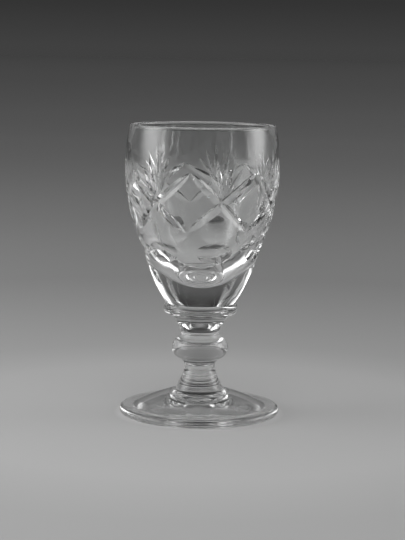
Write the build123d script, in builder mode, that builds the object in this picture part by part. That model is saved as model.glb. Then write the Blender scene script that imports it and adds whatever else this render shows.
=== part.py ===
from build123d import *
import math
import os

# A cordial glass of clear lead crystal, in millimetres: a cut bowl on a collar, a knopped stem and a domed
# foot. Each piece is one gather of glass, fused flat on the one below it. +Z is up, and the foot stands
# on z = 0.

# Heights of the pieces, from the foot up
foot_height = 9.2
stem_base_height = 5.5
knop_height = 10.2
stem_neck_height = 5.0
collar_height = 3.5
bowl_height = 52.9

# Radii of the seams, where one gather is fused to the next
foot_seam_radius = 6.35
knop_foot_radius = 4.5
knop_top_radius = 5.7
collar_foot_radius = 8.7
bowl_foot_radius = 10.3

# Foot: a rounded edge, a flat brim, a dome over a hollow and a flare up to the stem
foot_radius = 23.9
foot_edge_height = 2.4
foot_brim_width = 4.2
foot_dome_radius = 9.75
foot_dome_height = 6.45
foot_dome_bulge = 0.35
foot_flare_depth = 0.8
hollow_radius = 20.0
hollow_depth = 4.4
hollow_half_depth = 3.4
hollow_edge_slope = 0.7

# Lower stem, knop, neck and collar
stem_base_waist = 0.38
knop_radius = 8.4
knop_belt_height = 5.1
knop_ball_half_height = 3.1
knop_ball_inset = 2.0
knop_neck_waist = 0.25
stem_neck_waist = 0.15
collar_radius = 11.1
collar_underside_radius = 9.6

# Bowl: the outside widens to the belly and draws in again at the rim
rim_radius = 21.7
wall = 1.3
belly_radius = 22.87
belly_height = 41.6
shoulder_radius = 20.55
shoulder_height = 24.5
flank_radius = 17.45
flank_height = 16.0
heel_radius = 14.1
heel_height = 6.7
bowl_base = 7.2
cavity_shoulder_radius = 16.0
cavity_shoulder_height = 23.6
cavity_heel_radius = 9.6
cavity_heel_rise = 5.6

# Cut pattern: diamonds of V cuts round the bowl, with a fan above and an oval hollow below where two of them
# meet. Bearings are in degrees from -Y towards +X. The pattern leans, in degrees per millimetre, and its repeats
# drift towards the back, as hand cutting does. Each side of a V cut is at an angle to the way straight in.
repeats = 7
repeat_drift = 2.5
diamond_bearing = -10.3
pattern_lean = 0.2
diamond_top_z = 73.7
diamond_side_z = 64.9
diamond_bottom_z = 56.2
diamond_cut_depth = 1.1
diamond_upper_angle = 40
diamond_lower_angle = 60
fan_start = 0.8
fan_length = 14.0
fan_shortening = 0.12
fan_ray_angle = 13.5
fan_ray_pairs = 2
fan_cut_depth = 0.35
fan_side_angle = 65
oval_z = 49.9
oval_depth = 1.0
oval_wheel_radius = 60
oval_wheel_edge_radius = 5
run_out = 0.05

# Seam planes
stem_base_z = foot_height
knop_z = stem_base_z + stem_base_height
stem_neck_z = knop_z + knop_height
collar_z = stem_neck_z + stem_neck_height
bowl_z = collar_z + collar_height
rim_z = bowl_z + bowl_height


def midpoint(start, end, offset):
    """Middle of a line in the profile plane, moved sideways: out from the axis if offset is positive."""
    line = Vector(end[0] - start[0], end[1] - start[1])
    side = Vector(line.Y, -line.X).normalized() * offset
    return (start[0] + line.X / 2 + side.X, start[1] + line.Y / 2 + side.Y)


# Foot, blown to an even thickness: it stands on a ring round the hollow
edge_radius = foot_edge_height / 2
dome_start = (foot_radius - foot_brim_width, foot_edge_height)
dome_top = (foot_dome_radius, foot_dome_height)
foot_seam = (foot_seam_radius, foot_height)
with BuildPart() as foot:
    with BuildSketch(Plane.XZ):
        with BuildLine():
            Spline(
                (0, hollow_depth),
                (hollow_radius / 2, hollow_half_depth),
                (hollow_radius, 0),
                tangents=[(1, 0), (1, -hollow_edge_slope)],
            )
            Line((hollow_radius, 0), (foot_radius - edge_radius, 0))
            ThreePointArc(
                (foot_radius - edge_radius, 0),
                (foot_radius, edge_radius),
                (foot_radius - edge_radius, foot_edge_height),
            )
            Line((foot_radius - edge_radius, foot_edge_height), dome_start)
            ThreePointArc(dome_start, midpoint(dome_start, dome_top, foot_dome_bulge), dome_top)
            ThreePointArc(dome_top, midpoint(dome_top, foot_seam, -foot_flare_depth), foot_seam)
            Polyline(foot_seam, (0, foot_height), (0, hollow_depth))
        make_face()
    revolve(axis=Axis.Z)

# Lower stem, waisted a little between the foot and the knop
stem_top = (knop_foot_radius, knop_z)
with BuildPart() as stem_base:
    with BuildSketch(Plane.XZ):
        with BuildLine():
            ThreePointArc(foot_seam, midpoint(foot_seam, stem_top, -stem_base_waist), stem_top)
            Polyline(stem_top, (0, knop_z), (0, stem_base_z), foot_seam)
        make_face()
    revolve(axis=Axis.Z)

# Ball knop, drawn in to a neck at each end
ball_z = knop_z + knop_belt_height
ball_foot = (knop_radius - knop_ball_inset, ball_z - knop_ball_half_height)
ball_top = (knop_radius - knop_ball_inset, ball_z + knop_ball_half_height)
knop_top = (knop_top_radius, stem_neck_z)
with BuildPart() as knop:
    with BuildSketch(Plane.XZ):
        with BuildLine():
            ThreePointArc(stem_top, midpoint(stem_top, ball_foot, -knop_neck_waist), ball_foot)
            ThreePointArc(ball_foot, (knop_radius, ball_z), ball_top)
            ThreePointArc(ball_top, midpoint(ball_top, knop_top, -knop_neck_waist), knop_top)
            Polyline(knop_top, (0, stem_neck_z), (0, knop_z), stem_top)
        make_face()
    revolve(axis=Axis.Z)

# Neck under the collar
collar_foot = (collar_foot_radius, collar_z)
with BuildPart() as stem_neck:
    with BuildSketch(Plane.XZ):
        with BuildLine():
            ThreePointArc(knop_top, midpoint(knop_top, collar_foot, -stem_neck_waist), collar_foot)
            Polyline(collar_foot, (0, collar_z), (0, stem_neck_z), knop_top)
        make_face()
    revolve(axis=Axis.Z)

# Collar, a disc with a rounded edge
bowl_foot = (bowl_foot_radius, bowl_z)
collar_underside = (collar_underside_radius, collar_z)
with BuildPart() as collar:
    with BuildSketch(Plane.XZ):
        with BuildLine():
            ThreePointArc(collar_underside, (collar_radius, collar_z + collar_height / 2), bowl_foot)
            Polyline(bowl_foot, (0, bowl_z), (0, collar_z), collar_underside)
        make_face()
    revolve(axis=Axis.Z)

# Bowl before it is cut, with a solid base and a rounded rim
lip_z = rim_z - wall / 2
cavity_z = bowl_z + bowl_base
with BuildPart() as blank:
    with BuildSketch(Plane.XZ):
        with BuildLine():
            outside = Spline(
                bowl_foot,
                (heel_radius, bowl_z + heel_height),
                (flank_radius, bowl_z + flank_height),
                (shoulder_radius, bowl_z + shoulder_height),
                (belly_radius, bowl_z + belly_height),
                (rim_radius, lip_z),
            )
            ThreePointArc((rim_radius, lip_z), (rim_radius - wall / 2, rim_z), (rim_radius - wall, lip_z))
            Spline(
                (rim_radius - wall, lip_z),
                (belly_radius - wall, bowl_z + belly_height),
                (cavity_shoulder_radius, bowl_z + cavity_shoulder_height),
                (cavity_heel_radius, cavity_z + cavity_heel_rise),
                (0, cavity_z),
                tangents=[(-(outside % 1).X, -(outside % 1).Y), (-1, 0)],
            )
            Polyline((0, cavity_z), (0, bowl_z), bowl_foot)
        make_face()
    revolve(axis=Axis.Z)


def on_bowl(bearing, height, depth):
    """A point at a depth under the bowl's outside, and the direction straight out of the glass there."""
    low, high = 0, 1
    while high - low > 1e-6:
        middle = (low + high) / 2
        if (outside @ middle).Y < height:
            low = middle
        else:
            high = middle
    skin, along = outside @ low, outside % low
    turn = bearing + pattern_lean * (height - diamond_side_z) - 90
    out = Vector(along.Y, 0, -along.X).rotate(Axis.Z, turn)
    return Vector(skin.X, 0, height).rotate(Axis.Z, turn) - out * depth, out


def v_cutter(start, half_way, end, depth, upper_angle, lower_angle):
    """What a V-edged wheel takes out between two places on the bowl, run out at both ends."""
    path = ThreePointArc(
        on_bowl(*start, -run_out)[0],
        on_bowl(*half_way, depth)[0],
        on_bowl(*end, -run_out)[0],
    )
    across = path.normal()
    cutter_height = 1.5 * depth
    upper_width = cutter_height * math.tan(math.radians(upper_angle))
    lower_width = cutter_height * math.tan(math.radians(lower_angle))
    if across.Z < 0:
        upper_width, lower_width = lower_width, upper_width
    with BuildPart() as cutter:
        with BuildSketch(Plane(path @ 0, x_dir=across, z_dir=path % 0)):
            with BuildLine():
                Polyline((0, 0), (upper_width, cutter_height), (-lower_width, cutter_height), close=True)
            make_face()
        revolve(axis=Axis(path.arc_center, across), revolution_arc=math.degrees(path.length / path.radius))
    return cutter.part


def diamond_cutter(direction):
    """The long cut from the top of a diamond, past its side, to the bottom of the next one."""
    reach = direction * 360 / repeats
    return v_cutter(
        (diamond_bearing, diamond_top_z),
        (diamond_bearing + reach / 2, diamond_side_z),
        (diamond_bearing + reach, diamond_bottom_z),
        diamond_cut_depth,
        diamond_upper_angle,
        diamond_lower_angle,
    )


def fan_cutter(ray):
    """One ray of a fan, counted sideways from the long one in the middle."""
    lean = math.radians(ray * fan_ray_angle)
    length = fan_length * (1 - fan_shortening * abs(ray))
    places = []
    for reach in (fan_start, (fan_start + length) / 2, length):
        sideways = math.degrees(reach * math.sin(lean) / belly_radius)
        places.append((crossing_bearing + sideways, diamond_side_z + reach * math.cos(lean)))
    return v_cutter(*places, fan_cut_depth, fan_side_angle, fan_side_angle)


# Oval hollow, as the rounded edge of a wheel leaves it
crossing_bearing = diamond_bearing + 180 / repeats
oval_bottom, oval_out = on_bowl(crossing_bearing, oval_z, oval_depth)
oval_middle = oval_bottom + oval_out * oval_wheel_radius
oval_upright = Vector(0, 0, 1) - oval_out * oval_out.Z
with BuildPart(Plane(oval_middle, x_dir=oval_out, z_dir=oval_upright)) as oval_wheel:
    Torus(oval_wheel_radius - oval_wheel_edge_radius, oval_wheel_edge_radius)

# Bowl with its pattern, each cut repeated round it
cutters = [diamond_cutter(1), diamond_cutter(-1)]
cutters += [fan_cutter(ray) for ray in range(-fan_ray_pairs, fan_ray_pairs + 1)]
cutters.append(oval_wheel.part)
turns = [360 / repeats * i for i in range(repeats)]
drifts = [repeat_drift * math.sin(math.radians(turn / 2)) ** 2 for turn in turns]
places = [Location((0, 0, 0), (0, 0, turn - drift)) for turn, drift in zip(turns, drifts)]
with BuildPart() as bowl:
    add(blank.part)
    for cutter in cutters:
        with Locations(*places):
            add(cutter, mode=Mode.SUBTRACT, clean=False)

os.makedirs("parts", exist_ok=True)
foot.part.label = "foot"
export_step(foot.part, "parts/foot.step")
stem_base.part.label = "stem_base"
export_step(stem_base.part, "parts/stem_base.step")
knop.part.label = "knop"
export_step(knop.part, "parts/knop.step")
stem_neck.part.label = "stem_neck"
export_step(stem_neck.part, "parts/stem_neck.step")
collar.part.label = "collar"
export_step(collar.part, "parts/collar.step")
bowl.part.label = "bowl"
export_step(bowl.part, "parts/bowl.step")
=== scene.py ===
import math

import bmesh
import bpy
import numpy as np
from mathutils import Matrix, Vector


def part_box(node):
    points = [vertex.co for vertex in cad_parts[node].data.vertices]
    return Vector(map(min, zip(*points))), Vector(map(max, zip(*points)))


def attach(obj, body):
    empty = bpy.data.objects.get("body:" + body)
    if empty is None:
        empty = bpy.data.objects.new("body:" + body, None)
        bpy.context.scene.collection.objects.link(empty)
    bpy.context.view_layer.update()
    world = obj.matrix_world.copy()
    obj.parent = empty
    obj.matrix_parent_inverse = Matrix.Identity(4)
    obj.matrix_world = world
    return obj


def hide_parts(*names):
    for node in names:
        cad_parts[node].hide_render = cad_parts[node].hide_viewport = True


# A cut crystal cordial glass on a pale floor. Lengths are in metres, +Z is up and the foot stands on z = 0.
# A bearing is measured round the glass from the side that faces the photograph's camera, -Y, towards +X.

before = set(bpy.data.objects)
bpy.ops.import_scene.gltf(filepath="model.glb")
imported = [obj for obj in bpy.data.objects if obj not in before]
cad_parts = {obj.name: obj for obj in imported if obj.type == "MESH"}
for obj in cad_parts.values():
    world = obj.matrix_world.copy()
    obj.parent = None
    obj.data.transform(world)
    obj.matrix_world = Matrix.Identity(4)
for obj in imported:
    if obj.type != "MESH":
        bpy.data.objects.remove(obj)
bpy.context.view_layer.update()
mm = 0.001
tolerance = 0.001 * mm

# Seam planes and widest radii, from the frame
stem_base_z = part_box("stem_base")[0].z
knop_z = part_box("knop")[0].z
stem_neck_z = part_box("stem_neck")[0].z
collar_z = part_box("collar")[0].z
bowl_z, rim_z = (corner.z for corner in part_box("bowl"))
foot_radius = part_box("foot")[1].x
knop_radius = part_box("knop")[1].x
collar_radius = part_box("collar")[1].x
belly_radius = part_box("bowl")[1].x

# Radii of the seams, where one gather of glass is fused to the next
foot_seam_radius = 6.35 * mm
knop_foot_radius = 4.5 * mm
knop_top_radius = 5.7 * mm
collar_foot_radius = 8.7 * mm
bowl_foot_radius = 10.3 * mm

# Foot, stem and collar
foot_edge_height = 2.4 * mm
foot_brim_width = 4.2 * mm
foot_dome = (9.75 * mm, 6.45 * mm)
foot_dome_bulge = 0.35 * mm
foot_flare_depth = 0.8 * mm
hollow_radius = 20.0 * mm
hollow_depth = 4.4 * mm
hollow_middle = 3.4 * mm
stem_base_waist = 0.38 * mm
knop_belt_height = 5.1 * mm
knop_ball_half_height = 3.1 * mm
knop_ball_inset = 2.0 * mm
knop_neck_waist = 0.25 * mm
stem_neck_waist = 0.15 * mm
collar_underside_radius = 9.6 * mm

# Bowl
rim_radius = 21.7 * mm
belly_height = 41.6 * mm
shoulder_radius = 20.55 * mm
shoulder_height = 24.5 * mm
flank_radius = 17.45 * mm
flank_height = 16.0 * mm
heel_radius = 14.1 * mm
heel_height = 6.7 * mm
wall = 1.3 * mm
parallel_z = 76.0 * mm
cavity_shoulder_radius = 16.0 * mm
cavity_shoulder_height = 23.6 * mm
bowl_base = 7.2 * mm
cavity_heel_radius = 9.6 * mm
cavity_heel_rise = 5.6 * mm
cavity_z = bowl_z + bowl_base
lip_z = rim_z - wall / 2

# Cut pattern: seven diamonds round the bowl, a fan and an oval print where two diamonds meet.
# A cut with a higher run-out keeps its depth for longer, and the lift takes its ends clear of the skin.
repeats = 7
repeat_angle = 2 * math.pi / repeats
repeat_drift = math.radians(2.5)
pattern_lean = math.radians(0.2) / mm
diamond_bearing = math.radians(-10.3)
diamond_top = 73.7 * mm
diamond_side = 64.9 * mm
diamond_bottom = 56.2 * mm
crossing_bearing = diamond_bearing + repeat_angle / 2
mitre_depth = 1.1 * mm
mitre_run_out = 5
mitre_upper_angle = math.radians(40)
mitre_lower_angle = math.radians(60)
fan_start = 0.8 * mm
fan_length = 15.0 * mm
fan_shortening = 0.12
fan_ray_angle = math.radians(13.5)
fan_ray_pairs = 2
fan_depth = 0.45 * mm
fan_run_out = 2
fan_half_angle = math.radians(60)
print_z = 49.9 * mm
print_depth = 1.0 * mm
print_wheel_radius = 60 * mm
print_edge_radius = 5.0 * mm
cut_lift = 0.02 * mm
cutter_clearance = 0.5 * mm

# Fineness of the meshes
bowl_segments = repeats * 40
stem_segments = 192
bowl_steps = 140
cavity_steps = 80
hollow_steps = 96
curve_steps = 64
edge_steps = 24
mitre_stations = 61
fan_stations = 33
print_rings = 24
print_spokes = 64
turned_crease = math.radians(25)
cut_crease = math.radians(9)

# Finish of the glass
crystal_tint = (0.985, 0.99, 0.988, 1)
crystal_index = 1.55
hand_wave_length = 5.0 * mm
tooled_wave_height = 0.03 * mm
blown_wave_height = 0.07 * mm
wheel_wave_length = 2.0 * mm
wheel_wave_height = 0.02 * mm
wave_detail = 1.0
wear_height = 0.15 * mm
wear_roughness = 0.06
shadow_pass = 0.95

# Camera
camera_distance = 0.503
camera_height = 0.109
camera_pitch = math.radians(7.47)
camera_yaw = math.radians(-0.052)
camera_roll = math.radians(0.83)
focal_pixels = 1703
image_height = 540
sensor_size = 36

# Floor, with the grey of its paper at distances from the glass. The greys hold painted light: a brighter
# disc under the foot stands in for the light that falls through the glass, and a bright ring at its edge is
# a painted caustic.
# Further out the greys rise to make up for the falloff of the lamps, then dim again towards the horizon.
# The spread is the power that gives the near distances more of the ramp.
floor_gap = 0.1 * mm
floor_reach = 16.0
floor_segments = 96
paper_greys_with_painted_light = (
    (0.0225, 0.56),
    (0.025, 0.41),
    (0.08, 0.425),
    (0.12, 0.375),
    (0.30, 0.355),
    (0.57, 0.465),
    (1.50, 0.79),
    (2.3, 0.80),
    (4.5, 0.69),
    (16.0, 0.54),
)
paper_spread = 1 / 3
paper_roughness = 0.9
paper_gloss = 0.1

# Room, with its greys by height from 0 at the horizon to 1 overhead, and walls by distance to either side
lighting_greys = ((0.0, 0.08), (0.1, 0.07), (0.5, 0.05), (1.0, 0.15))
backdrop_greys = (
    (0.0, 0.052),
    (0.027, 0.033),
    (0.1, 0.10),
    (0.4, 0.08),
    (0.7, 0.0),
    (0.93, 0.03),
    (1.0, 0.25),
)
backdrop_half_width = 0.13
walls_half_width = 0.4
walls_low = 0.03
walls_high = 0.2
walls_grey = 0.12

# Lamps, with the watts that a square metre takes at a brightness of 1
lamp_watts = 4
softbox_distance = 0.8
softbox_brightness = 2.4
softbox_lean = math.radians(40)
left_softbox_bearing = math.radians(-84)
left_softbox_elevation = math.radians(18)
left_softbox_size = (0.95, 1.7)
right_softbox_bearing = math.radians(95)
right_softbox_elevation = math.radians(16)
right_softbox_size = (0.75, 1.3)
card_distance = 3.0
card_height = 0.72
card_size = (7.0, 0.9)
card_brightness = 1.0
card_top_share = 0.2
floor_light_place = (0, -0.17, 0.5)
floor_light_aim = (0, -0.17, 0)
floor_light_size = (0.1, 0.1)
floor_light_brightness = 34
side_light_place = (-0.6, -0.08, 0.22)
side_light_aim = (0, 0, 0.02)
side_light_size = (0.12, 0.12)
side_light_brightness = 30


# Outlines and meshes

def wrapped(angle):
    """The same angle between -180 and 180 degrees."""
    return (angle + math.pi) % (2 * math.pi) - math.pi


def arc(start, middle, end, count):
    """Points of the arc through three points of an outline, both ends included."""
    a, b, c = (Vector(point) for point in (start, middle, end))
    double_area = 2 * (b - a).cross(c - a)
    to_b, to_c = (b - a).length_squared, (c - a).length_squared
    centre = a + Vector((
        ((c - a).y * to_b - (b - a).y * to_c) / double_area,
        ((b - a).x * to_c - (c - a).x * to_b) / double_area,
    ))
    angles = [math.atan2(*(point - centre).yx) for point in (a, b, c)]
    turn = wrapped(angles[1] - angles[0]) + wrapped(angles[2] - angles[1])
    radius = (a - centre).length
    steps = np.linspace(angles[0], angles[0] + turn, count)
    return [(centre.x + radius * math.cos(t), centre.y + radius * math.sin(t)) for t in steps]


def bowed(start, end, offset, count):
    """Points of an arc between two outline points, its middle moved out from the axis by the offset."""
    a, b = Vector(start), Vector(end)
    side = Vector(((b - a).y, (a - b).x)).normalized() * offset
    return arc(start, (a + b) / 2 + side, end, count)


def spline(points, count, start_slope=None, end_slope=None):
    """Points of a smooth curve through the given ones, in cubic spans of one curvature where they meet."""
    points = np.array(points)
    spans = np.linalg.norm(np.diff(points, axis=0), axis=1)
    knots = np.concatenate(([0], np.cumsum(spans)))
    rises = np.diff(points, axis=0) / spans[:, None]
    size = len(points)
    system = np.zeros((size, size))
    target = np.zeros((size, 2))
    for i in range(1, size - 1):
        before, after = spans[i - 1], spans[i]
        system[i, i - 1 : i + 2] = 1 / before, 2 / before + 2 / after, 1 / after
        target[i] = 3 * (rises[i - 1] / before + rises[i] / after)
    system[0, 0] = system[-1, -1] = 1
    free_start = rises[0] + (rises[0] - rises[1]) * spans[0] / (spans[0] + spans[1])
    free_end = rises[-1] + (rises[-1] - rises[-2]) * spans[-1] / (spans[-1] + spans[-2])
    target[0] = free_start if start_slope is None else start_slope
    target[-1] = free_end if end_slope is None else end_slope
    slopes = np.linalg.solve(system, target)
    curve = []
    for along in np.linspace(0, knots[-1], count):
        i = min(np.searchsorted(knots, along, side="right") - 1, size - 2)
        t = (along - knots[i]) / spans[i]
        curve.append(
            (1 + 2 * t) * (1 - t) ** 2 * points[i]
            + t * (1 - t) ** 2 * spans[i] * slopes[i]
            + t * t * (3 - 2 * t) * points[i + 1]
            + t * t * (t - 1) * spans[i] * slopes[i + 1]
        )
    return [tuple(point) for point in curve]


def heading(start, end):
    """The unit step from one outline point towards another."""
    return (Vector(end) - Vector(start)).normalized()


def inset(curve, depth):
    """The points of a rising curve moved into the glass by the depth."""
    moved = []
    for i, point in enumerate(curve):
        along = heading(curve[max(i - 1, 0)], curve[min(i + 1, len(curve) - 1)])
        moved.append(tuple(Vector(point) + depth * Vector((-along.y, along.x))))
    return moved


def joined(*runs):
    """One outline from runs that end where the next begins."""
    outline = list(runs[0])
    for run in runs[1:]:
        outline += run[1:]
    return outline


def mesh_object(name, vertices, faces):
    """A smooth-shaded mesh object with its faces turned outwards."""
    mesh = bpy.data.meshes.new(name)
    mesh.from_pydata(vertices, [], faces)
    turned = bmesh.new()
    turned.from_mesh(mesh)
    bmesh.ops.recalc_face_normals(turned, faces=turned.faces)
    turned.to_mesh(mesh)
    turned.free()
    mesh.shade_smooth()
    piece = bpy.data.objects.new(name, mesh)
    bpy.context.scene.collection.objects.link(piece)
    return piece


def lathe(name, outline, segments):
    """A closed body turned round the axis. The outline starts and ends on the axis."""
    vertices, faces, rings = [], [], []
    for radius, height in outline:
        count = segments if radius > tolerance else 1
        rings.append(range(len(vertices), len(vertices) + count))
        for i in range(count):
            turn = 2 * math.pi * i / segments
            vertices.append((radius * math.sin(turn), -radius * math.cos(turn), height))
    for low, high in zip(rings, rings[1:]):
        for i in range(segments):
            j = (i + 1) % segments
            if len(low) == 1:
                faces.append((low[0], high[j], high[i]))
            elif len(high) == 1:
                faces.append((low[i], low[j], high[0]))
            else:
                faces.append((low[i], low[j], high[j], high[i]))
    return mesh_object(name, vertices, faces)


# Shader nodes

def feed(tree, source, socket):
    """Gives a socket the output of another node, or a plain number."""
    if isinstance(source, bpy.types.NodeSocket):
        tree.links.new(source, socket)
    else:
        socket.default_value = source


def worked_out(tree, operation, *sources):
    """The output of a math node."""
    node = tree.nodes.new("ShaderNodeMath")
    node.operation = operation
    for source, socket in zip(sources, node.inputs):
        feed(tree, source, socket)
    return node.outputs["Value"]


def map_range(tree, value, from_low, from_high, to_low, to_high, interpolation="LINEAR"):
    """The output of a node that takes a value from one range to another and keeps it there."""
    node = tree.nodes.new("ShaderNodeMapRange")
    node.interpolation_type = interpolation
    for source, socket in zip((value, from_low, from_high, to_low, to_high), node.inputs):
        feed(tree, source, socket)
    return node.outputs["Result"]


def grey_ramp(tree, value, stops):
    """The output of a colour ramp with greys at some stops of the value."""
    ramp = tree.nodes.new("ShaderNodeValToRGB")
    elements = ramp.color_ramp.elements
    while len(elements) < len(stops):
        elements.new(1.0)
    for element, (position, grey) in zip(elements, stops):
        element.position = position
        element.color = (grey, grey, grey, 1)
    tree.links.new(value, ramp.inputs["Fac"])
    return ramp.outputs["Color"]


def new_material(name):
    """A material with its node tree and its shader."""
    material = bpy.data.materials.new(name)
    material.use_nodes = True
    tree = material.node_tree
    return material, tree, tree.nodes["Principled BSDF"]


# Glass

def lit_through(tree, shader):
    """Lets light fall through the glass onto the floor, a little dimmed at each face."""
    clear = tree.nodes.new("ShaderNodeBsdfTransparent")
    clear.inputs["Color"].default_value = (shadow_pass, shadow_pass, shadow_pass, 1)
    ray = tree.nodes.new("ShaderNodeLightPath")
    mix = tree.nodes.new("ShaderNodeMixShader")
    tree.links.new(ray.outputs["Is Shadow Ray"], mix.inputs["Fac"])
    tree.links.new(shader.outputs["BSDF"], mix.inputs[1])
    tree.links.new(clear.outputs["BSDF"], mix.inputs[2])
    tree.links.new(mix.outputs["Shader"], tree.nodes["Material Output"].inputs["Surface"])


def crystal_glass(name, wave_length, wave_height):
    """Clear polished glass. Its skin waves a little, as hand work leaves it, and the rest ring is worn."""
    material, tree, shader = new_material(name)
    shader.inputs["Base Color"].default_value = crystal_tint
    shader.inputs["IOR"].default_value = crystal_index
    shader.inputs["Transmission Weight"].default_value = 1.0
    where = tree.nodes.new("ShaderNodeTexCoord")
    waves = tree.nodes.new("ShaderNodeTexNoise")
    waves.inputs["Scale"].default_value = 1 / wave_length
    waves.inputs["Detail"].default_value = wave_detail
    bump = tree.nodes.new("ShaderNodeBump")
    bump.inputs["Distance"].default_value = wave_height
    tree.links.new(where.outputs["Object"], waves.inputs["Vector"])
    tree.links.new(waves.outputs["Fac"], bump.inputs["Height"])
    tree.links.new(bump.outputs["Normal"], shader.inputs["Normal"])
    parts = tree.nodes.new("ShaderNodeSeparateXYZ")
    tree.links.new(where.outputs["Object"], parts.inputs["Vector"])
    wear = map_range(tree, parts.outputs["Z"], 0, wear_height, wear_roughness, 0)
    tree.links.new(wear, shader.inputs["Roughness"])
    lit_through(tree, shader)
    return material


def fused_seam(name):
    """Where two gathers are fused there is no surface to see."""
    material, _, shader = new_material(name)
    shader.inputs["Alpha"].default_value = 0.0
    return material


tooled_crystal = crystal_glass("tooled_crystal", hand_wave_length, tooled_wave_height)
blown_crystal = crystal_glass("blown_crystal", hand_wave_length, blown_wave_height)
cut_crystal = crystal_glass("cut_crystal", wheel_wave_length, wheel_wave_height)
seam = fused_seam("fused_seam")

# Places of the materials on every piece. The glass that it is mostly made of comes first
seam_slot = 1
cut_slot = 2


def dress(piece, glass, joints):
    """Glass all over, but for the discs where the piece is fused to its neighbours."""
    for material in (glass, seam, cut_crystal):
        piece.data.materials.append(material)
    for face in piece.data.polygons:
        for height, radius in joints:
            if abs(face.center.z - height) < tolerance and face.center.xy.length < radius:
                face.material_index = seam_slot
    piece.data.set_sharp_from_angle(angle=turned_crease)


# Outlines of the pieces, from the axis at the foot of each to the axis at its top
hollow_half = (hollow_radius / 2, hollow_middle)
hollow_edge = (hollow_radius, 0)
foot_edge_inset = foot_radius - foot_edge_height / 2
foot_edge_low = (foot_edge_inset, 0)
foot_edge_middle = (foot_radius, foot_edge_height / 2)
foot_edge_high = (foot_edge_inset, foot_edge_height)
brim = (foot_radius - foot_brim_width, foot_edge_height)
foot_seam = (foot_seam_radius, stem_base_z)
stem_top = (knop_foot_radius, knop_z)
ball_z = knop_z + knop_belt_height
ball_foot = (knop_radius - knop_ball_inset, ball_z - knop_ball_half_height)
ball_top = (knop_radius - knop_ball_inset, ball_z + knop_ball_half_height)
knop_top = (knop_top_radius, stem_neck_z)
collar_foot = (collar_foot_radius, collar_z)
collar_underside = (collar_underside_radius, collar_z)
bowl_foot = (bowl_foot_radius, bowl_z)

foot_outline = joined(
    spline(((0, hollow_depth), hollow_half, hollow_edge), hollow_steps, start_slope=(1, 0)),
    [hollow_edge, foot_edge_low],
    arc(foot_edge_low, foot_edge_middle, foot_edge_high, edge_steps),
    [foot_edge_high, brim],
    bowed(brim, foot_dome, foot_dome_bulge, curve_steps),
    bowed(foot_dome, foot_seam, -foot_flare_depth, curve_steps),
    [foot_seam, (0, stem_base_z)],
)
stem_base_outline = joined(
    [(0, stem_base_z), foot_seam],
    bowed(foot_seam, stem_top, -stem_base_waist, curve_steps),
    [stem_top, (0, knop_z)],
)
knop_outline = joined(
    [(0, knop_z), stem_top],
    bowed(stem_top, ball_foot, -knop_neck_waist, edge_steps),
    arc(ball_foot, (knop_radius, ball_z), ball_top, curve_steps),
    bowed(ball_top, knop_top, -knop_neck_waist, edge_steps),
    [knop_top, (0, stem_neck_z)],
)
stem_neck_outline = joined(
    [(0, stem_neck_z), knop_top],
    bowed(knop_top, collar_foot, -stem_neck_waist, curve_steps),
    [collar_foot, (0, collar_z)],
)
collar_outline = joined(
    [(0, collar_z), collar_foot, collar_underside],
    arc(collar_underside, (collar_radius, (collar_z + bowl_z) / 2), bowl_foot, curve_steps),
    [bowl_foot, (0, bowl_z)],
)
bowl_outside = spline(
    (
        bowl_foot,
        (heel_radius, bowl_z + heel_height),
        (flank_radius, bowl_z + flank_height),
        (shoulder_radius, bowl_z + shoulder_height),
        (belly_radius, bowl_z + belly_height),
        (rim_radius, lip_z),
    ),
    bowl_steps,
)
upper_inside = [point for point in inset(bowl_outside, wall) if point[1] > parallel_z][::-1]
lower_inside = spline(
    (
        upper_inside[-1],
        (cavity_shoulder_radius, bowl_z + cavity_shoulder_height),
        (cavity_heel_radius, cavity_z + cavity_heel_rise),
        (0, cavity_z),
    ),
    cavity_steps,
    start_slope=heading(upper_inside[-2], upper_inside[-1]),
    end_slope=(-1, 0),
)
lip_outside = bowl_outside[-1]
lip_inside = upper_inside[0]
lip_top = ((lip_outside[0] + lip_inside[0]) / 2, rim_z)
bowl_outline = joined(
    [(0, bowl_z), bowl_foot],
    bowl_outside,
    arc(lip_outside, lip_top, lip_inside, edge_steps),
    upper_inside,
    lower_inside,
)

foot = lathe("foot_crystal", foot_outline, stem_segments)
stem_base = lathe("stem_base_crystal", stem_base_outline, stem_segments)
knop = lathe("knop_crystal", knop_outline, stem_segments)
stem_neck = lathe("stem_neck_crystal", stem_neck_outline, stem_segments)
collar = lathe("collar_crystal", collar_outline, stem_segments)
bowl = lathe("bowl_crystal", bowl_outline, bowl_segments)

foot_joint = (stem_base_z, foot_seam_radius)
stem_joint = (knop_z, knop_foot_radius)
knop_joint = (stem_neck_z, knop_top_radius)
neck_joint = (collar_z, collar_foot_radius)
bowl_joint = (bowl_z, bowl_foot_radius)
dress(foot, tooled_crystal, [foot_joint])
dress(stem_base, tooled_crystal, [foot_joint, stem_joint])
dress(knop, tooled_crystal, [stem_joint, knop_joint])
dress(stem_neck, tooled_crystal, [knop_joint, neck_joint])
dress(collar, tooled_crystal, [neck_joint, bowl_joint])
dress(bowl, blown_crystal, [bowl_joint])


# Cutting

outside_radii, outside_heights = np.array(bowl_outside).T
outside_slopes = np.gradient(outside_radii, outside_heights)


def on_bowl(bearing, height):
    """A point of the bowl's outside and the direction straight out of the glass there."""
    radius = np.interp(height, outside_heights, outside_radii)
    slope = np.interp(height, outside_heights, outside_slopes)
    turn = bearing + pattern_lean * (height - diamond_side)
    out = Vector((math.sin(turn), -math.cos(turn), 0))
    point = out * radius + Vector((0, 0, height))
    return point, (out - Vector((0, 0, slope))).normalized()


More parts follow.
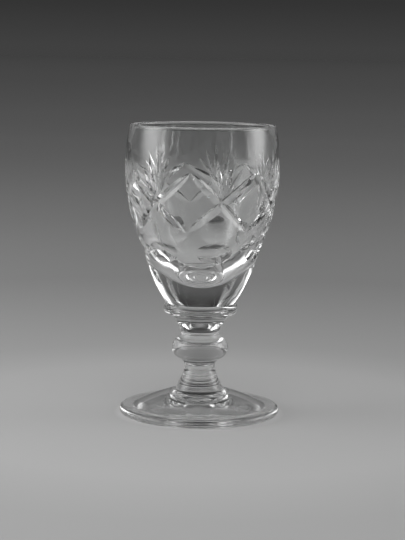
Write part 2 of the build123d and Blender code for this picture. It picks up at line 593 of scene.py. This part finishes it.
def groove(stations, upper_angle, lower_angle):
    """Vertices and faces of a V-edged cutter that follows (bearing, height, depth) stations on the bowl."""
    places = [on_bowl(bearing, height) for bearing, height, depth in stations]
    vertices, faces = [], []
    for i, (point, out) in enumerate(places):
        depth = stations[i][2]
        tangent = places[min(i + 1, len(places) - 1)][0] - places[max(i - 1, 0)][0]
        side = tangent.cross(out).normalized()
        up = side if side.z > 0 else -side
        cup = depth + cutter_clearance
        top = point + out * cutter_clearance
        upper_lip = top + up * cup * math.tan(upper_angle)
        lower_lip = top - up * cup * math.tan(lower_angle)
        vertices += [point - out * depth, upper_lip, lower_lip]
    for i in range(0, 3 * (len(places) - 1), 3):
        for j in range(3):
            k = (j + 1) % 3
            faces.append((i + j, i + k, i + 3 + k, i + 3 + j))
    last = 3 * len(places) - 3
    return vertices, faces + [(0, 1, 2), (last, last + 1, last + 2)]


def run_out(depth, along, power):
    """Depth of a cut at a share of its length: the higher the power, the shorter it runs in and out."""
    return depth * (1 - abs(1 - 2 * along) ** power) - cut_lift


def mitre_cut(direction):
    """The long cut from the top of one diamond, past its side, to the bottom of the next."""
    stations = []
    for along in np.linspace(0, 1, mitre_stations):
        bearing = diamond_bearing + along * direction * repeat_angle
        middle_drop = 4 * along * (1 - along) * (diamond_side - (diamond_top + diamond_bottom) / 2)
        height = diamond_top + (diamond_bottom - diamond_top) * along + middle_drop
        stations.append((bearing, height, run_out(mitre_depth, along, mitre_run_out)))
    return groove(stations, mitre_upper_angle, mitre_lower_angle)


def fan_cut(ray):
    """One ray of a fan, counted sideways from the long one in the middle."""
    lean = ray * fan_ray_angle
    length = fan_length * (1 - fan_shortening * abs(ray))
    stations = []
    for along in np.linspace(0, 1, fan_stations):
        reach = fan_start + along * (length - fan_start)
        height = diamond_side + reach * math.cos(lean)
        bearing = crossing_bearing + reach * math.sin(lean) / belly_radius
        stations.append((bearing, height, run_out(fan_depth, along, fan_run_out)))
    return groove(stations, fan_half_angle, fan_half_angle)


def print_cut():
    """An oval hollow, as a wheel with a rounded edge leaves it."""
    point, out = on_bowl(crossing_bearing, print_z)
    across = Vector((0, 0, 1)).cross(out).normalized()
    up = out.cross(across)
    cup = print_depth + cutter_clearance
    vertices, faces = [point - out * print_depth], []
    for ring in range(1, print_rings + 1):
        share = ring / print_rings
        for spoke in range(print_spokes):
            turn = 2 * math.pi * spoke / print_spokes
            wide = share * math.sqrt(2 * print_wheel_radius * cup) * math.cos(turn)
            high = share * math.sqrt(2 * print_edge_radius * cup) * math.sin(turn)
            lift = cup * share**2 - print_depth
            vertices.append(point + across * wide + up * high + out * lift)
    for spoke in range(print_spokes):
        turned = (spoke + 1) % print_spokes
        faces.append((0, 1 + spoke, 1 + turned))
        for ring in range(print_rings - 1):
            low = 1 + ring * print_spokes
            high = low + print_spokes
            faces.append((low + spoke, high + spoke, high + turned, low + turned))
    top = 1 + (print_rings - 1) * print_spokes
    faces.append(tuple(range(top, top + print_spokes)))
    return vertices, faces


def cut_round(piece, vertices, faces):
    """Takes one cut out of the piece at every repeat of the pattern."""
    all_vertices, all_faces = [], []
    for i in range(repeats):
        angle = i * repeat_angle
        turn = Matrix.Rotation(angle - repeat_drift * math.sin(angle / 2) ** 2, 3, "Z")
        start = len(all_vertices)
        all_vertices += [turn @ vertex for vertex in vertices]
        all_faces += [tuple(start + corner for corner in face) for face in faces]
    cutter = mesh_object("cutter", all_vertices, all_faces)
    for material in piece.data.materials:
        cutter.data.materials.append(material)
    for face in cutter.data.polygons:
        face.material_index = cut_slot
    cut = piece.modifiers.new("cut", "BOOLEAN")
    cut.operation = "DIFFERENCE"
    cut.solver = "MANIFOLD"
    cut.object = cutter
    bpy.context.view_layer.update()
    evaluated = piece.evaluated_get(bpy.context.evaluated_depsgraph_get())
    result = bpy.data.meshes.new_from_object(evaluated)
    piece.modifiers.clear()
    piece.data = result
    bpy.data.objects.remove(cutter)


cuts = [mitre_cut(1), mitre_cut(-1), print_cut()]
cuts += [fan_cut(ray) for ray in range(-fan_ray_pairs, fan_ray_pairs + 1)]
for vertices, faces in cuts:
    cut_round(bowl, vertices, faces)
bowl.data.shade_smooth()
bowl.data.set_sharp_from_angle(angle=cut_crease)

for piece, node in (
    (foot, "foot"),
    (stem_base, "stem_base"),
    (knop, "knop"),
    (stem_neck, "stem_neck"),
    (collar, "collar"),
    (bowl, "bowl"),
):
    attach(piece, "root")
    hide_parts(node)


# Floor

def floor_paper_with_painted_light(name):
    """Matt paper. Its grey follows the distance from the glass and holds painted light around the foot and
    along the floor.
    """
    material, tree, shader = new_material(name)
    shader.inputs["Roughness"].default_value = paper_roughness
    shader.inputs["Specular IOR Level"].default_value = paper_gloss
    where = tree.nodes.new("ShaderNodeTexCoord")
    distance = tree.nodes.new("ShaderNodeVectorMath")
    distance.operation = "LENGTH"
    tree.links.new(where.outputs["Object"], distance.inputs[0])
    share = map_range(tree, distance.outputs["Value"], 0, floor_reach, 0, 1)
    spread = worked_out(tree, "POWER", share, paper_spread)
    stops = [((reach / floor_reach) ** paper_spread, grey) for reach, grey in paper_greys_with_painted_light]
    tree.links.new(grey_ramp(tree, spread, stops), shader.inputs["Base Color"])
    return material


floor_rim = []
for i in range(floor_segments):
    turn = 2 * math.pi * i / floor_segments
    floor_rim.append((floor_reach * math.cos(turn), floor_reach * math.sin(turn), -floor_gap))
floor_mesh = bpy.data.meshes.new("floor")
floor_mesh.from_pydata(floor_rim, [], [tuple(range(floor_segments))])
floor_mesh.materials.append(floor_paper_with_painted_light("paper"))
floor = bpy.data.objects.new("floor", floor_mesh)
bpy.context.scene.collection.objects.link(floor)


# Room

def studio(name):
    """A plain room. One set of greys lights the floor, and the other shows behind the glass and in it."""
    world = bpy.data.worlds.new(name)
    world.use_nodes = True
    tree = world.node_tree
    where = tree.nodes.new("ShaderNodeTexCoord")
    parts = tree.nodes.new("ShaderNodeSeparateXYZ")
    tree.links.new(where.outputs["Generated"], parts.inputs["Vector"])
    height = parts.outputs["Z"]
    aside = worked_out(tree, "ABSOLUTE", parts.outputs["X"])
    wall_grey = map_range(tree, height, walls_low, walls_high, walls_grey, 0)
    walls = map_range(tree, aside, backdrop_half_width, walls_half_width, 0, wall_grey)
    room = tree.nodes.new("ShaderNodeVectorMath")
    room.operation = "ADD"
    tree.links.new(grey_ramp(tree, height, backdrop_greys), room.inputs[0])
    tree.links.new(walls, room.inputs[1])
    ray = tree.nodes.new("ShaderNodeLightPath")
    in_glass = worked_out(tree, "MAXIMUM", ray.outputs["Is Glossy Ray"], ray.outputs["Is Transmission Ray"])
    seen = worked_out(tree, "MAXIMUM", ray.outputs["Is Camera Ray"], in_glass)
    mix = tree.nodes.new("ShaderNodeMix")
    mix.data_type = "RGBA"
    tree.links.new(seen, mix.inputs["Factor"])
    tree.links.new(grey_ramp(tree, height, lighting_greys), mix.inputs["A"])
    tree.links.new(room.outputs["Vector"], mix.inputs["B"])
    tree.links.new(mix.outputs["Result"], tree.nodes["Background"].inputs["Color"])
    return world


bpy.context.scene.world = studio("studio")


# Lamps

def lamp(name, place, aim, size, brightness):
    """A soft rectangular light that the camera doesn't see."""
    width, height = size
    light = bpy.data.lights.new(name, "AREA")
    light.shape = "RECTANGLE"
    light.size = width
    light.size_y = height
    light.energy = lamp_watts * brightness * width * height
    fixture = bpy.data.objects.new(name, light)
    bpy.context.scene.collection.objects.link(fixture)
    fixture.location = place
    fixture.rotation_euler = (Vector(place) - Vector(aim)).to_track_quat("Z", "Y").to_euler()
    fixture.visible_camera = False
    return fixture


def softbox(name, bearing, elevation, size, lean):
    """A long soft light beside the glass that leans over towards the back and fades out to its edge."""
    flat = math.cos(elevation)
    out = Vector((flat * math.sin(bearing), -flat * math.cos(bearing), math.sin(elevation)))
    aim = Vector((0, 0, rim_z / 2))
    box = lamp(name, aim + out * softbox_distance, aim, size, softbox_brightness)
    facing = out.to_track_quat("Z", "Y").to_matrix()
    box.rotation_euler = (facing @ Matrix.Rotation(lean, 3, "Z")).to_euler()
    box.data.use_nodes = True
    tree = box.data.node_tree
    where = tree.nodes.new("ShaderNodeTexCoord")
    centred = tree.nodes.new("ShaderNodeMapping")
    centred.inputs["Location"].default_value = (-1, -1, 0)
    centred.inputs["Scale"].default_value = (2, 2, 0)
    glow = tree.nodes.new("ShaderNodeTexGradient")
    glow.gradient_type = "SPHERICAL"
    tree.links.new(where.outputs["UV"], centred.inputs["Vector"])
    tree.links.new(centred.outputs["Vector"], glow.inputs["Vector"])
    strength = map_range(tree, glow.outputs["Fac"], 0, 1, 0, 1, "SMOOTHSTEP")
    tree.links.new(strength, tree.nodes["Emission"].inputs["Strength"])


def fade_downwards(fixture, top_share):
    """Grades a light from a share of its strength at its upper edge to nothing at its lower one."""
    fixture.data.use_nodes = True
    tree = fixture.data.node_tree
    where = tree.nodes.new("ShaderNodeTexCoord")
    parts = tree.nodes.new("ShaderNodeSeparateXYZ")
    tree.links.new(where.outputs["UV"], parts.inputs["Vector"])
    strength = map_range(tree, parts.outputs["Y"], 0, 1, 0, top_share)
    tree.links.new(strength, tree.nodes["Emission"].inputs["Strength"])


softbox("left_softbox", left_softbox_bearing, left_softbox_elevation, left_softbox_size, softbox_lean)
softbox("right_softbox", right_softbox_bearing, right_softbox_elevation, right_softbox_size, -softbox_lean)

# A card behind the glass that shows only in it
card_place = (0, card_distance, card_height)
card = lamp("back_card", card_place, (0, 0, card_height), card_size, card_brightness)
card.visible_diffuse = False
fade_downwards(card, card_top_share)

# Lights for the floor that don't show in the glass
floor_light = lamp(
    "floor_light", floor_light_place, floor_light_aim, floor_light_size, floor_light_brightness
)
side_light = lamp("side_light", side_light_place, side_light_aim, side_light_size, side_light_brightness)
for light in (floor_light, side_light):
    light.visible_glossy = False
    light.visible_transmission = False


# Camera

camera_data = bpy.data.cameras.new("camera")
camera_data.sensor_width = sensor_size
camera_data.lens = focal_pixels / image_height * sensor_size
camera = bpy.data.objects.new("camera", camera_data)
bpy.context.scene.collection.objects.link(camera)
facing = Matrix.Rotation(camera_yaw, 4, "Z") @ Matrix.Rotation(math.pi / 2 - camera_pitch, 4, "X")
rolled = facing @ Matrix.Rotation(camera_roll, 4, "Z")
camera.matrix_world = Matrix.Translation((0, -camera_distance, camera_height)) @ rolled
bpy.context.scene.camera = camera

# Light paths long enough to pass through the whole glass
scene = bpy.context.scene
scene.view_settings.view_transform = "Standard"
scene.cycles.caustics_refractive = False
scene.cycles.caustics_reflective = False
scene.cycles.max_bounces = 32
scene.cycles.transmission_bounces = 32
scene.cycles.glossy_bounces = 16
scene.cycles.diffuse_bounces = 3
scene.cycles.transparent_max_bounces = 64
